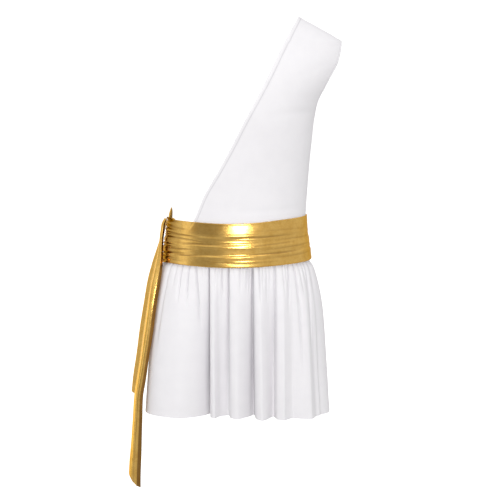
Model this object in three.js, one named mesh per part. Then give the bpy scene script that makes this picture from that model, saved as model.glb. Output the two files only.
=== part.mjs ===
import * as THREE from 'three';
import { mergeVertices } from 'three/addons/utils/BufferGeometryUtils.js';

// One-shoulder Greek dress with a wound gold sash, in millimetres, +Z up, the front facing -Y.
// The tables are laid out from the body's centre line, with z counted from the top of the shoulder.
// Angles go round the body in degrees: 0 at the front, 90 at the wearer's left, 180 at the back.

// Driving sizes
const whiteWall = 1.4;
const goldWall = 1.2;
const seamGap = 0.3;
const waistSeam = -447;
const skirtLength = 311;
const hemTilt = -0.018;
const hemFrontRise = 5.5;
const sashClearance = 0.9;
const strapMiddle = { x: 159, z: -8.6 };

const looks = {
  white: { color: 0xeceaf0, roughness: 0.8, metalness: 0 },
  gold: { color: 0xd9a54e, roughness: 0.3, metalness: 0.9 },
};

// Horizontal sections of the bodice: half width, depth in front and depth behind
const bodySections = [
  { z: -470, half: 147.2, front: 103.4, back: 96 },
  { z: -447, half: 143.4, front: 100.5, back: 92 },
  { z: -420, half: 139.6, front: 98.5, back: 87.5 },
  { z: -395, half: 135.8, front: 97, back: 84 },
  { z: -369, half: 134.6, front: 96.5, back: 82 },
  { z: -318, half: 137.6, front: 98, back: 83 },
  { z: -260, half: 142, front: 101.5, back: 86 },
  { z: -224, half: 145.6, front: 104.5, back: 89 },
  { z: -172, half: 151.6, front: 108, back: 92 },
  { z: -142, half: 162, front: 104, back: 89 },
  { z: -120, half: 177, front: 99, back: 86 },
  { z: -97, half: 192, front: 92, back: 80 },
  { z: -74, half: 204, front: 82, back: 72 },
  { z: -52, half: 207, front: 70, back: 62 },
  { z: -40, half: 205.2, front: 64, back: 57 },
  { z: -30.6, half: 201.4, front: 60, back: 53 },
  { z: 15.8, half: 118.6, front: 45, back: 38 },
];

// The neckline's edge in front, from the wearer's right side seam up to the strap's inner corner
const neckline = [
  { z: -447, x: -143.4 },
  { z: -420, x: -117 },
  { z: -395, x: -97 },
  { z: -369, x: -81 },
  { z: -320, x: -60.5 },
  { z: -274, x: -34 },
  { z: -229, x: -9.8 },
  { z: -184, x: 13 },
  { z: -140, x: 37 },
  { z: -96, x: 59.5 },
  { z: -52, x: 81 },
  { z: -18, x: 99 },
  { z: 15.8, x: 118.6 },
];

// The armhole's edge, from the underarm up to the strap's outer corner
const armhole = [
  { z: -172, x: 151.6 },
  { z: -161, x: 152 },
  { z: -142, x: 157 },
  { z: -120, x: 168 },
  { z: -97, x: 180 },
  { z: -74, x: 192.4 },
  { z: -52, x: 198.6 },
  { z: -40, x: 200.6 },
  { z: -30.6, x: 201.4 },
];

// Rows of a bodice panel: the height where each row starts at the neckline and ends at the side
const panelRows = [
  { neck: -447, side: -447 },
  { neck: -420, side: -420 },
  { neck: -395, side: -395 },
  { neck: -369, side: -369 },
  { neck: -336, side: -336 },
  { neck: -300, side: -302 },
  { neck: -262, side: -268 },
  { neck: -222, side: -235 },
  { neck: -184, side: -203 },
  { neck: -148, side: -172 },
  { neck: -118, side: -150 },
  { neck: -90, side: -126 },
  { neck: -64, side: -102 },
  { neck: -42, side: -79 },
  { neck: -24, side: -60 },
  { neck: -9, side: -47 },
  { neck: 2, side: -39 },
  { neck: 10, side: -34 },
  { neck: 14.5, side: -31.4 },
  { neck: 15.8, side: -30.6 },
];
const panelColumns = 15;

// How far the back's neckline and armhole lie inside the front's, and where that fades out
const backNeckInset = 20;
const backArmholeInset = 2;
const armholeFade = 30;

// Skirt sections below the waist seam: 2 in the boxy column is an oval and more is squarer; fold
// and gather say how far those stand out, and tuck how far the sash draws the gathers in
const skirtSections = [
  { down: 0, right: 143, left: 143, front: 100.2, back: 91.6, boxy: 2, fold: 0, gather: 2.2, tuck: 3 },
  { down: 10, right: 143.4, left: 143.2, front: 100.6, back: 92.2, boxy: 2, fold: 0, gather: 2.4, tuck: 3.2 },
  { down: 21, right: 151.5, left: 149, front: 105.2, back: 99, boxy: 2.1, fold: 0.06, gather: 3.3, tuck: 0 },
  { down: 50, right: 160, left: 155, front: 108, back: 108, boxy: 2.2, fold: 0.18, gather: 3, tuck: 0 },
  { down: 95, right: 168.5, left: 163, front: 108, back: 114, boxy: 2.35, fold: 0.38, gather: 2, tuck: 0 },
  { down: 150, right: 173.5, left: 170.5, front: 104, back: 115, boxy: 2.5, fold: 0.59, gather: 1.1, tuck: 0 },
  { down: 205, right: 177.5, left: 175, front: 99, back: 114, boxy: 2.6, fold: 0.77, gather: 0.5, tuck: 0 },
  { down: 260, right: 181.5, left: 179, front: 94, back: 112, boxy: 2.7, fold: 0.91, gather: 0.2, tuck: 0 },
  { down: 311, right: 185, left: 182, front: 89, back: 110, boxy: 2.8, fold: 1, gather: 0, tuck: 0 },
];

// One row for each hanging fold, across the panel: where its valley lies at the waist and the hem
// and its ridge at the hem, how far both stand out at the hem, and the small gathers it starts from
const frontFolds = [
  { top: -143, hem: -182, valley: 0, ridgeAt: -146, ridge: 17, gathers: 3 },
  { top: -104, hem: -127, valley: 16, ridgeAt: -106, ridge: 23, gathers: 4 },
  { top: -52, hem: -57, valley: -27, ridgeAt: -47, ridge: 7, gathers: 3 },
  { top: -16, hem: -20, valley: -19, ridgeAt: -4, ridge: 10, gathers: 3 },
  { top: 30, hem: 30, valley: -26, ridgeAt: 46, ridge: 19, gathers: 3 },
  { top: 64, hem: 61, valley: -15, ridgeAt: 85, ridge: 24, gathers: 3 },
  { top: 97, hem: 103, valley: -9, ridgeAt: 132, ridge: 25, gathers: 3 },
  { top: 128, hem: 157, valley: -10, ridgeAt: 173, ridge: 3, gathers: 3 },
  { top: 143, hem: 185, valley: 0 },
];
const backFolds = [
  { top: 143, hem: 185, valley: 0, ridgeAt: 172, ridge: 8, gathers: 3 },
  { top: 127, hem: 152, valley: -9, ridgeAt: 133, ridge: 17, gathers: 3 },
  { top: 96, hem: 108, valley: -15, ridgeAt: 92, ridge: 20, gathers: 3 },
  { top: 62, hem: 66, valley: -12, ridgeAt: 47, ridge: 14, gathers: 3 },
  { top: 18, hem: 22, valley: -20, ridgeAt: 7, ridge: 18, gathers: 3 },
  { top: -21, hem: -20, valley: -16, ridgeAt: -46, ridge: 21, gathers: 3 },
  { top: -62, hem: -74, valley: -10, ridgeAt: -99, ridge: 14, gathers: 3 },
  { top: -106, hem: -122, valley: -14, ridgeAt: -150, ridge: 16, gathers: 4 },
  { top: -143, hem: -182, valley: 0 },
];
const waistHalf = 143;
const columnsPerGather = 4;
const foldSteepness = 0.7;
const gatherUnevenness = 0.3;

// The sash: its edges' heights, how far they dip at the middle of the front, at the knot's corner
// and at the back, and the creases that run along it as shares of its width
const sashEdges = { low: -453.8, lowTilt: 0.008, lowDip: 2.4, high: -368.6, highTilt: 0.02, highDip: 4.2 };
const sashDipSharpness = 6;
const sashCorner = 4;
const sashBackDip = 20;
const sashCreases = [
  { left: 0, middle: 0, right: 0, swell: 2.6, steps: 4 },
  { left: 0.225, middle: 0.26, right: 0.27, swell: 3, steps: 5 },
  { left: 0.44, middle: 0.41, right: 0.44, swell: 2.8, steps: 5 },
  { left: 0.715, middle: 0.64, right: 0.68, swell: 2, steps: 8 },
  { left: 1, middle: 1, right: 1, swell: 0, steps: 0 },
];
const backCreases = [
  { left: 0, middle: 0, right: 0, swell: 2.4, steps: 3 },
  { left: 0.24, middle: 0.27, right: 0.24, swell: 2.8, steps: 3 },
  { left: 0.44, middle: 0.52, right: 0.46, swell: 2.6, steps: 3 },
  { left: 0.68, middle: 0.76, right: 0.71, swell: 1.8, steps: 3 },
  { left: 1, middle: 1, right: 1, swell: 0, steps: 0 },
];
const sashFrontAngles = [
  -89.9, -86, -82, -77.5, -73, -68, -62, -55, -47, -38, -29, -20, -11, -2,
  7, 16, 25, 34, 43, 52, 61, 70, 80, 90,
];
const sashBackAngles = [
  90, 99, 108, 117, 126, 135, 144, 153, 162, 171, 180, 189, 198, 207, 216, 225, 234, 243, 252, 261, 269.9,
];
const ruching = { from: -89.9, to: -58, height: 1.5, flattening: 0.75 };
const swellAtSeam = 0.55;
const swellLean = 0.75;

// The knot and the short end that stands above it
const knot = { angle: 244, z: -392, out: 11.2, thick: 6.4, wide: 15, tall: 14, groove: 1.1, grooves: 3 };

// Sections of the free ends: how far each point lies to the side of the front fold and behind it
const longEndSection = [
  { side: -9, behind: 30 },
  { side: -8.6, behind: 21 },
  { side: -6.4, behind: 12 },
  { side: -2.6, behind: 3.5 },
  { side: 0, behind: 0 },
  { side: 3.2, behind: 1.6 },
  { side: 7.4, behind: 6.5 },
];
const shortEndSection = [
  { side: -2.5, behind: 37 },
  { side: -5.4, behind: 27 },
  { side: -6.6, behind: 17 },
  { side: -5, behind: 8 },
  { side: -1.8, behind: 2 },
  { side: 0.8, behind: 0 },
];
const earSection = [
  { side: -3.6, behind: 9 },
  { side: -3.8, behind: 3.5 },
  { side: -1, behind: 0 },
  { side: 2.6, behind: 2.6 },
];

// Where the front fold of each free end lies, from its foot upwards, and how wide the section opens
const longEnd = [
  { z: -872, x: -203, y: -62, side: 1.38, behind: 1 },
  { z: -846, x: -201.5, y: -63, side: 1.32, behind: 1 },
  { z: -810, x: -199, y: -65, side: 1.22, behind: 1 },
  { z: -765, x: -195.5, y: -67, side: 1.1, behind: 1 },
  { z: -715, x: -192, y: -68, side: 1, behind: 1 },
  { z: -683, x: -187, y: -68, side: 1.02, behind: 1 },
  { z: -634, x: -179, y: -67, side: 1, behind: 1 },
  { z: -586, x: -171.5, y: -66, side: 1.04, behind: 1 },
  { z: -537, x: -164.5, y: -61, side: 1.02, behind: 1 },
  { z: -497, x: -158.4, y: -52, side: 1, behind: 0.9 },
  { z: -462, x: -152.4, y: -41, side: 0.8, behind: 0.75 },
  { z: -440, x: -148.8, y: -32, side: 0.5, behind: 0.6 },
  { z: -415, x: -146.4, y: -21, side: 0.44, behind: 0.52 },
  { z: -398, x: -145.3, y: -11, side: 0.42, behind: 0.5 },
  { z: -384, x: -144.5, y: 2, side: 0.42, behind: 0.48 },
];
const longEndSlant = 32;
const shortEnd = [
  { z: -714, x: -204.5, y: -30, side: 0.95, behind: 1 },
  { z: -683, x: -200, y: -29, side: 1, behind: 1 },
  { z: -634, x: -192.5, y: -26, side: 1, behind: 1 },
  { z: -586, x: -185.5, y: -21, side: 1, behind: 1 },
  { z: -537, x: -178.5, y: -16, side: 1, behind: 0.95 },
  { z: -497, x: -171.5, y: -10, side: 0.95, behind: 0.85 },
  { z: -462, x: -163.2, y: -1, side: 0.85, behind: 0.7 },
  { z: -440, x: -157, y: 5, side: 0.7, behind: 0.58 },
  { z: -415, x: -150.4, y: 11, side: 0.45, behind: 0.42 },
  { z: -398, x: -146.6, y: 16.5, side: 0.34, behind: 0.34 },
  { z: -386, x: -144.4, y: 21.5, side: 0.3, behind: 0.3 },
];
const shortEndSlant = 11;
const ear = [
  { z: -377.4, x: -131.6, y: 25, side: 1.15, behind: 1 },
  { z: -370, x: -130.8, y: 24, side: 1.1, behind: 0.9 },
  { z: -362.5, x: -129.8, y: 23.5, side: 0.86, behind: 0.72 },
  { z: -357.5, x: -129.2, y: 23.2, side: 0.62, behind: 0.55 },
];

const degrees = Math.PI / 180;
const mix = (from, to, share) => from + (to - from) * share;
const clamp = (value, low, high) => Math.min(high, Math.max(low, value));
const smooth = (value) => value * value * (3 - 2 * value);

// A smooth curve through one column of a table, read at a place along another column
function readTable(table, along, column, at) {
  const last = table.length - 1;
  const rising = table[last][along] > table[0][along];
  let row = 0;
  while (row < last - 1 && (rising ? at > table[row + 1][along] : at < table[row + 1][along])) row += 1;
  const slope = (a, b) => (table[b][column] - table[a][column]) / (table[b][along] - table[a][along]);
  const tangent = (k) => slope(Math.max(0, k - 1), Math.min(last, k + 1));
  const span = table[row + 1][along] - table[row][along];
  const t = clamp((at - table[row][along]) / span, 0, 1);
  const fromTangent = tangent(row) * span;
  const toTangent = tangent(row + 1) * span;
  return (2 * t ** 3 - 3 * t ** 2 + 1) * table[row][column]
    + (t ** 3 - 2 * t ** 2 + t) * fromTangent
    + (3 * t ** 2 - 2 * t ** 3) * table[row + 1][column]
    + (t ** 3 - t ** 2) * toTangent;
}

// A point on an oval or boxier section, moved out square to it
function sectionPoint(angle, z, half, depth, square, out) {
  const across = Math.sin(angle * degrees);
  const along = Math.cos(angle * degrees);
  const x = Math.sign(across) * Math.abs(across) ** (2 / square);
  const y = -Math.sign(along) * Math.abs(along) ** (2 / square);
  const normal = new THREE.Vector2(
    Math.sign(x) * Math.abs(x) ** (square - 1) / half,
    Math.sign(y) * Math.abs(y) ** (square - 1) / depth,
  ).normalize();
  return new THREE.Vector3(half * x + normal.x * out, depth * y + normal.y * out, z);
}

// The angle at which such a section passes a place across it
function angleAcross(x, half, square) {
  return Math.asin(Math.sign(x) * Math.min(1, Math.abs(x / half)) ** (square / 2)) / degrees;
}

function bodyPoint(angle, z, out = 0) {
  const read = (column) => readTable(bodySections, 'z', column, z);
  const depth = Math.cos(angle * degrees) > 0 ? read('front') : read('back');
  return sectionPoint(angle, z, read('half'), depth, 2, out);
}

// Which way a sheet's outer face looks at one point of its grid
function gridNormal(grid, row, column) {
  const rows = grid.length - 1;
  const columns = grid[0].length - 1;
  const across = grid[row][Math.min(columns, column + 1)].clone().sub(grid[row][Math.max(0, column - 1)]);
  const up = grid[Math.min(rows, row + 1)][column].clone().sub(grid[Math.max(0, row - 1)][column]);
  return across.cross(up).normalize();
}

// A closed wall of cloth behind a grid of outer points, rows upwards and columns by rising angle.
// A point may name the plane of its seam, where the wall's edge stays flat: seam for y, level for z.
function clothMesh(name, grid, wall, look) {
  const rows = grid.length;
  const columns = grid[0].length;
  const points = [];
  const inner = [];
  grid.forEach((line, row) => line.forEach((point, column) => {
    const back = point.clone().addScaledVector(gridNormal(grid, row, column), -wall);
    for (const corner of [point, back]) {
      if (point.seam !== undefined) corner.y = point.seam;
      if (point.level !== undefined) corner.z = point.level;
    }
    points.push(point);
    inner.push(back);
  }));
  const outerAt = (row, column) => row * columns + column;
  const innerAt = (row, column) => rows * columns + row * columns + column;
  const faces = [];
  const quad = (a, b, c, d) => faces.push(a, b, c, a, c, d);
  for (let row = 0; row < rows - 1; row += 1) {
    for (let column = 0; column < columns - 1; column += 1) {
      const a = outerAt(row, column);
      const b = outerAt(row, column + 1);
      const c = outerAt(row + 1, column + 1);
      const d = outerAt(row + 1, column);
      const shift = rows * columns;
      if (points[a].distanceTo(points[c]) <= points[b].distanceTo(points[d])) {
        quad(a, b, c, d);
        quad(a + shift, d + shift, c + shift, b + shift);
      } else {
        quad(b, c, d, a);
        quad(b + shift, a + shift, d + shift, c + shift);
      }
    }
  }
  for (let column = 0; column < columns - 1; column += 1) {
    const top = rows - 1;
    quad(innerAt(0, column), innerAt(0, column + 1), outerAt(0, column + 1), outerAt(0, column));
    quad(outerAt(top, column), outerAt(top, column + 1), innerAt(top, column + 1), innerAt(top, column));
  }
  for (let row = 0; row < rows - 1; row += 1) {
    const end = columns - 1;
    quad(outerAt(row, 0), outerAt(row + 1, 0), innerAt(row + 1, 0), innerAt(row, 0));
    quad(innerAt(row, end), innerAt(row + 1, end), outerAt(row + 1, end), outerAt(row, end));
  }
  const geometry = new THREE.BufferGeometry();
  geometry.setAttribute('position', new THREE.Float32BufferAttribute(
    [...points, ...inner].flatMap((point) => point.toArray()), 3));
  geometry.setIndex(faces);
  return finishMesh(name, geometry, look);
}

function finishMesh(name, geometry, look) {
  geometry.computeVertexNormals();
  const mesh = new THREE.Mesh(geometry, new THREE.MeshStandardMaterial(look));
  mesh.name = name;
  return mesh;
}

// Front or back of the bodice. facing is -1 in front and 1 behind.
function bodicePanel(name, facing) {
  const behind = facing > 0;
  const angleOf = (x, z) => {
    const angle = angleAcross(x, readTable(bodySections, 'z', 'half', z), 2);
    return behind ? 180 - angle : angle;
  };
  const seamAngles = { neck: behind ? 270 : -90, side: 90 };
  const neckAngle = (z) => {
    const share = clamp((z - neckline[0].z) / (neckline[neckline.length - 1].z - neckline[0].z), 0, 1);
    const inset = behind ? backNeckInset * Math.sqrt(Math.sin(Math.PI * share)) : 0;
    return angleOf(readTable(neckline, 'z', 'x', z) + inset, z);
  };
  const sideAngle = (z) => {
    if (z <= armhole[0].z) return seamAngles.side;
    const nearest = Math.min(z - armhole[0].z, armhole[armhole.length - 1].z - z);
    const inset = behind ? backArmholeInset * smooth(clamp(nearest / armholeFade, 0, 1)) : 0;
    return angleOf(readTable(armhole, 'z', 'x', z) - inset, z);
  };
  const grid = panelRows.map((row, index) => {
    const crest = index === panelRows.length - 1;
    const start = index === 0 ? seamAngles.neck : crest ? seamAngles.side : neckAngle(row.neck);
    const end = crest ? seamAngles.side : sideAngle(row.side);
    const line = [];
    for (let column = 0; column <= panelColumns; column += 1) {
      const share = behind ? 1 - column / panelColumns : column / panelColumns;
      const angle = mix(start, end, share);
      const point = bodyPoint(angle, mix(row.neck, row.side, share));
      if (angle === seamAngles.side || angle === seamAngles.neck) point.seam = facing * seamGap / 2;
      if (index === 0) point.level = waistSeam + seamGap / 2;
      line.push(point);
    }
    return line;
  });
  return clothMesh(name, grid, whiteWall, looks.white);
}

// The columns of a skirt panel: each fold runs from its valley over its ridge to the next valley
function skirtColumns(folds) {
  const columns = [];
  for (let fold = 0; fold < folds.length - 1; fold += 1) {
    const from = folds[fold];
    const to = folds[fold + 1];
    const steps = from.gathers * columnsPerGather;
    for (let step = 0; step < steps; step += 1) columns.push({ from, to, share: step / steps, fold });
  }
  const [from, to] = folds.slice(-2);
  columns.push({ from, to, share: 1, fold: folds.length - 2 });
  return columns;
}

function skirtPoint(section, column, facing) {
  const { from, to, share } = column;
  const hem = skirtSections[skirtSections.length - 1];
  const angleOf = (x, half, square) => {
    const angle = angleAcross(x, half, square);
    return facing < 0 ? angle : 180 - angle;
  };
  const hemAngleOf = (x) => angleOf(x, x > 0 ? hem.right : hem.left, hem.boxy);
  const rising = share < 0.5;
  const climb = rising ? share * 2 : 2 - share * 2;
  const valley = rising ? from : to;
  const steep = climb + foldSteepness * section.fold * Math.sin(2 * Math.PI * climb) / (2 * Math.PI);
  const topAngle = mix(angleOf(from.top, waistHalf, 2), angleOf(to.top, waistHalf, 2), share);
  const hemAngle = mix(hemAngleOf(valley.hem), hemAngleOf(from.ridgeAt), steep);
  const angle = mix(topAngle, hemAngle, section.down / skirtLength);
  const fold = mix(valley.valley, from.ridge, 0.5 - 0.5 * Math.cos(Math.PI * climb)) * section.fold;
  const uneven = 1 + gatherUnevenness * Math.sin(2.4 * column.fold + 5 * share);
  const gather = -Math.cos(2 * Math.PI * from.gathers * share) * section.gather * uneven;
  const half = Math.sin(angle * degrees) > 0 ? section.right : section.left;
  const depth = facing < 0 ? section.front : section.back;
  const out = fold + gather - section.tuck;
  return sectionPoint(angle, waistSeam - section.down, half, depth, section.boxy, out);
}

function skirtPanel(name, folds, facing) {
  const columns = skirtColumns(folds);
  const grid = [...skirtSections].reverse().map((section) => columns.map((column, index) => {
    const point = skirtPoint(section, column, facing);
    if (index === 0 || index === columns.length - 1) point.seam = facing * seamGap / 2;
    if (section.down === 0) point.level = waistSeam - seamGap / 2;
    if (section.down === skirtLength) {
      const rise = facing < 0 ? hemFrontRise * clamp(-point.y / section.front, 0, 1) : 0;
      point.level = point.z + hemTilt * point.x + rise;
    }
    return point;
  }));
  return clothMesh(name, grid, whiteWall, looks.white);
}

// Height of a crease of the sash as a share of its width: left, middle and right of the panel
function creaseShare(crease, across) {
  const middle = 1 - Math.abs(across * 2 - 1);
  const side = across < 0.5 ? crease.left : crease.right;
  return mix(side, crease.middle, smooth(middle));
}

function sashPanel(name, angles, creases, facing) {
  const first = angles[0];
  const last = angles[angles.length - 1];
  const rows = [];
  creases.slice(0, -1).forEach((crease, index) => {
    for (let step = 0; step < crease.steps; step += 1) {
      rows.push({ crease, next: creases[index + 1], share: step / crease.steps });
    }
  });
  rows.push({ crease: creases[creases.length - 2], next: creases[creases.length - 1], share: 1 });
  const grid = rows.map((row, index) => angles.map((angle) => {
    const across = facing < 0 ? (angle - first) / (last - first) : (last - angle) / (last - first);
    const toSide = angle > 180 ? 180 - angle : angle;
    const ruche = 1 - smooth(clamp((toSide - ruching.from) / (ruching.to - ruching.from), 0, 1));
    const flat = bodyPoint(angle, (sashEdges.low + sashEdges.high) / 2);
    const frontness = Math.cos(angle * degrees);
    const dip = Math.max(0, frontness) ** sashDipSharpness;
    const corner = sashCorner * ruche;
    const backDip = sashBackDip * smooth(clamp(-frontness * Math.SQRT2, 0, 1));
    const low = sashEdges.low + sashEdges.lowTilt * flat.x - sashEdges.lowDip * dip - corner;
    const high = sashEdges.high + sashEdges.highTilt * flat.x - sashEdges.highDip * dip - backDip;
    const share = mix(creaseShare(row.crease, across), creaseShare(row.next, across), row.share);
    const swell = row.crease.swell * Math.sin(Math.PI * row.share ** swellLean) * mix(1, swellAtSeam, across);
    const gathers = facing < 0 ? ruching.height * (index % 2) * ruche : 0;
    const out = sashClearance + goldWall + swell * (1 - ruching.flattening * ruche) + gathers;
    const point = bodyPoint(angle, mix(low, high, share), out);
    if (angle === first || angle === last) point.seam = facing * seamGap / 2;
    return point;
  }));
  return clothMesh(name, grid, goldWall, looks.gold);
}

// A folded strip: a section carried up along a table, its foot cut at a slant
function stripMesh(name, stations, section, slant) {
  const grid = stations.map((station, row) => section.map((place, column) => {
    const cut = row === 0 ? slant * column / (section.length - 1) : 0;
    const x = station.x + place.side * station.side;
    const y = station.y + place.behind * station.behind;
    return new THREE.Vector3(x, y, station.z - cut);
  }));
  return clothMesh(name, grid, goldWall, looks.gold);
}

// The knot: a flat bun with grooves that run down over it
function knotMesh() {
  const ball = new THREE.SphereGeometry(1, 18, 12);
  ball.deleteAttribute('normal');
  ball.deleteAttribute('uv');
  const geometry = mergeVertices(ball);
  const places = geometry.attributes.position;
  for (let index = 0; index < places.count; index += 1) {
    const point = new THREE.Vector3().fromBufferAttribute(places, index);
    const wave = 0.5 - 0.5 * Math.cos(2 * Math.PI * knot.grooves * point.z);
    const groove = 1 - wave * knot.groove / knot.thick;
    places.setXYZ(index, point.x * knot.thick * groove, point.y * knot.wide * groove, point.z * knot.tall);
  }
  const mesh = finishMesh('sash_knot', geometry, looks.gold);
  const middle = bodyPoint(knot.angle, knot.z, knot.out);
  const outward = middle.clone().sub(bodyPoint(knot.angle, knot.z));
  mesh.position.copy(middle);
  mesh.rotation.z = Math.atan2(outward.y, outward.x);
  return mesh;
}

const dress = new THREE.Group();
dress.position.set(-strapMiddle.x, 0, -strapMiddle.z);
dress.add(
  bodicePanel('bodice_front', -1),
  bodicePanel('bodice_back', 1),
  skirtPanel('skirt_front', frontFolds, -1),
  skirtPanel('skirt_back', backFolds, 1),
  sashPanel('sash_front', sashFrontAngles, sashCreases, -1),
  sashPanel('sash_back', sashBackAngles, backCreases, 1),
  knotMesh(),
  stripMesh('sash_ear', ear, earSection, 0),
  stripMesh('sash_tail_short', shortEnd, shortEndSection, shortEndSlant),
  stripMesh('sash_tail_long', longEnd, longEndSection, longEndSlant),
);

export default dress;
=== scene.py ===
import math

import bpy
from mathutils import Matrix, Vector, noise


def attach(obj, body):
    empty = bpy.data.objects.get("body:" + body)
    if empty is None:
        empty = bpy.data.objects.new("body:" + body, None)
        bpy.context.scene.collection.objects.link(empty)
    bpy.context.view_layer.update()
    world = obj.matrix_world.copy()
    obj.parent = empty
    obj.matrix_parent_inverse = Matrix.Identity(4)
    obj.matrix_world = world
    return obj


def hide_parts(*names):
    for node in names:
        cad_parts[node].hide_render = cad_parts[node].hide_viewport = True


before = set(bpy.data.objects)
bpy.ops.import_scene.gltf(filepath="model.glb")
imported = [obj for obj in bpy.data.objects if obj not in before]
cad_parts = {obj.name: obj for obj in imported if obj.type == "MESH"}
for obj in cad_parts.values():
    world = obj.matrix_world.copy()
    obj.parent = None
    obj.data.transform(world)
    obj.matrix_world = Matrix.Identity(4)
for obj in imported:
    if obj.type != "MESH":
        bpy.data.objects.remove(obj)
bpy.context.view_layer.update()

print("frame loaded,", len(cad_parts), "solids")

# Everything is laid out in millimetres from the body's centre line, with z counted from the
# top of the shoulder, and placed in the row frame at the end. Angles go round the body: 0 at
# the front, 90 at the wearer's left, 180 at the back.
strapMiddle = {"x": 159, "z": -8.6}
whiteWall = 1.1
goldWall = 0.8
seamGap = 0.3


def place(point):
    return (point.x - strapMiddle["x"]) / 1000, point.y / 1000, (point.z - strapMiddle["z"]) / 1000


def mix(start, end, share):
    return start + (end - start) * share


def clamp(value, low, high):
    return min(high, max(low, value))


def smooth(value):
    value = clamp(value, 0, 1)
    return value * value * (3 - 2 * value)


# a smooth curve through one column of a table, read at a place along another column
def readTable(table, along, column, at):
    last = len(table) - 1
    rising = table[last][along] > table[0][along]
    row = 0
    while row < last - 1 and (at > table[row + 1][along] if rising else at < table[row + 1][along]):
        row += 1

    def slope(a, b):
        return (table[b][column] - table[a][column]) / (table[b][along] - table[a][along])

    span = table[row + 1][along] - table[row][along]
    t = clamp((at - table[row][along]) / span, 0, 1)
    fromTangent = slope(max(0, row - 1), min(last, row + 1)) * span
    toTangent = slope(row, min(last, row + 2)) * span
    return ((2 * t**3 - 3 * t**2 + 1) * table[row][column] + (t**3 - 2 * t**2 + t) * fromTangent
            + (3 * t**2 - 2 * t**3) * table[row + 1][column] + (t**3 - t**2) * toTangent)


# a smooth curve through a list of values, where 2.5 is halfway from the third to the fourth
def through(values, at):
    last = len(values) - 1
    row = int(clamp(math.floor(at), 0, last - 1))
    t = at - row
    before, start, end, after = (values[int(clamp(row + step, 0, last))] for step in (-1, 0, 1, 2))
    return start + t * ((end - before) / 2 + t * (
        before - 2.5 * start + 2 * end - after / 2 + t * (1.5 * (start - end) + (after - before) / 2)))


# a point on an oval or boxier section, moved out square to it
def sectionPoint(angle, z, half, depth, square, out):
    across, along = math.sin(math.radians(angle)), math.cos(math.radians(angle))
    x = math.copysign(abs(across) ** (2 / square), across)
    y = -math.copysign(abs(along) ** (2 / square), along)
    normal = Vector((math.copysign(abs(x) ** (square - 1) / half, x),
                     math.copysign(abs(y) ** (square - 1) / depth, y))).normalized()
    return Vector((half * x + normal.x * out, depth * y + normal.y * out, z))


def angleAcross(x, half, square):
    return math.degrees(math.asin(math.copysign(min(1, abs(x / half)) ** (square / 2), x)))


bodySections = [dict(zip(("z", "half", "front", "back"), row)) for row in (
    (-470, 147.2, 103.4, 96), (-447, 143.4, 100.5, 92), (-420, 139.6, 98.5, 87.5),
    (-395, 135.8, 97, 84), (-369, 134.6, 96.5, 82), (-318, 137.6, 98, 83),
    (-260, 142, 101.5, 86), (-224, 145.6, 104.5, 89), (-172, 151.6, 108, 92),
    (-142, 162, 104, 89), (-120, 177, 99, 86), (-97, 192, 92, 80), (-74, 204, 82, 72),
    (-52, 207, 70, 62), (-40, 205.2, 64, 57), (-30.6, 201.4, 60, 53), (15.8, 118.6, 45, 38))]


def bodyPoint(angle, z, out=0):
    depth = "front" if math.cos(math.radians(angle)) > 0 else "back"
    return sectionPoint(angle, z, readTable(bodySections, "z", "half", z),
                        readTable(bodySections, "z", depth, z), 2, out)


# which way the outer face looks at one point of a grid, taken over a few points round it
def gridNormal(grid, row, column, reach=2):
    rows, columns = len(grid) - 1, len(grid[0]) - 1
    across = grid[row][min(columns, column + reach)] - grid[row][max(0, column - reach)]
    up = grid[min(rows, row + reach)][column] - grid[max(0, row - reach)][column]
    return across.cross(up).normalized()


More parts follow.
